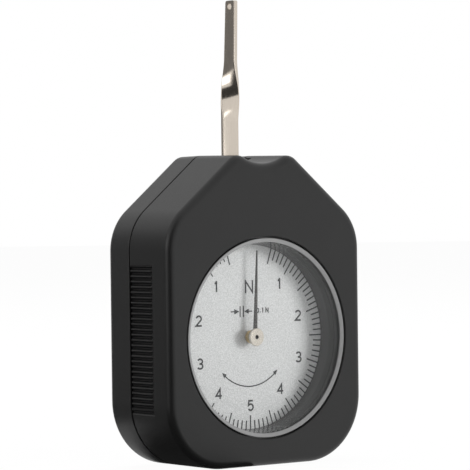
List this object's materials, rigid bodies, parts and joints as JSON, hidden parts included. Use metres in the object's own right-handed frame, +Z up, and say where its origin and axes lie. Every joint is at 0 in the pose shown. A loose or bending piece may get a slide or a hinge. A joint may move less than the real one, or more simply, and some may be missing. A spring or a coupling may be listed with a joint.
{
  "type": "dial tension gauge",
  "caption": "Hand-held dial tension gauge: a twisted swinging lever on top turns a pointer over a round two-way dial in a flat black case.",
  "frame": {"origin": "under the middle of the case, on the flat base that it stands on", "axes": "+Z up along the lever, the dial faces -Y, +X to the dial's right"},
  "size_m": [0.0602, 0.025, 0.1142],
  "materials": {
    "black_plastic": "finely textured matte black moulding",
    "grey_ring": "light grey, semi-gloss",
    "clear_lens": "clear, polished",
    "dial_silver": "silver, satin, with black print",
    "needle_black": "black, satin",
    "nickel": "bright nickel plate",
    "brass": "machined, bright",
    "steel": "turned, bright",
    "spring_steel": "blued",
    "black_screw": "blackened"
  },
  "bodies": {
    "case": {"front_case": "black_plastic", "rear_cover": "black_plastic", "lens_ring": "grey_ring", "window_lens": "clear_lens", "cover_screw_1": "black_screw", "cover_screw_2": "black_screw", "cover_screw_3": "black_screw", "cover_screw_4": "black_screw", "dial_plate": "dial_silver", "front_plate": "brass", "rear_plate": "brass", "pillar_1": "brass", "pillar_2": "brass", "pillar_3": "brass", "pillar_4": "brass", "pillar_screw_1": "steel", "pillar_screw_2": "steel", "pillar_screw_3": "steel", "pillar_screw_4": "steel", "movement_screw_1": "steel", "movement_screw_2": "steel", "movement_screw_3": "steel", "movement_screw_4": "steel", "lever_bush_front": "brass", "lever_bush_rear": "brass", "pointer_bush_front": "brass", "pointer_bush_rear": "brass", "stop_pin_left": "steel", "stop_pin_right": "steel", "hairspring": "spring_steel", "hairspring_stud": "brass", "measuring_spring": "spring_steel", "spring_fork": "brass", "fork_screw_1": "steel", "fork_screw_2": "steel"},
    "lever": {"measuring_lever": "nickel", "lever_hub": "brass", "lever_arbor": "steel", "sector_gear": "brass", "lever_rivet_1": "steel", "lever_rivet_2": "steel", "spring_clamp": "brass", "spring_clamp_screw": "black_screw"},
    "pointer": {"pointer_needle": "needle_black", "pointer_hub": "nickel", "pointer_arbor": "steel", "pinion_gear": "brass", "hairspring_collet": "brass"}
  },
  "joints": [
    {"name": "lever_swing", "type": "hinge", "parent": "case", "child": "lever", "pos_m": [0, 0.0017, 0.062], "axis": [0, 1, 0], "range_deg": [-12, 12], "stiffness_Nm_per_rad": 1.21, "deforming": ["measuring_spring"]},
    {"name": "pointer_turn", "type": "hinge", "parent": "case", "child": "pointer", "pos_m": [0, -0.0012, 0.0312], "axis": [0, 1, 0], "range_deg": [-181, 181], "deforming": ["hairspring"]}
  ],
  "couplings": [
    {"joint": "pointer_turn", "follows": "lever_swing", "ratio": -15}
  ]
}
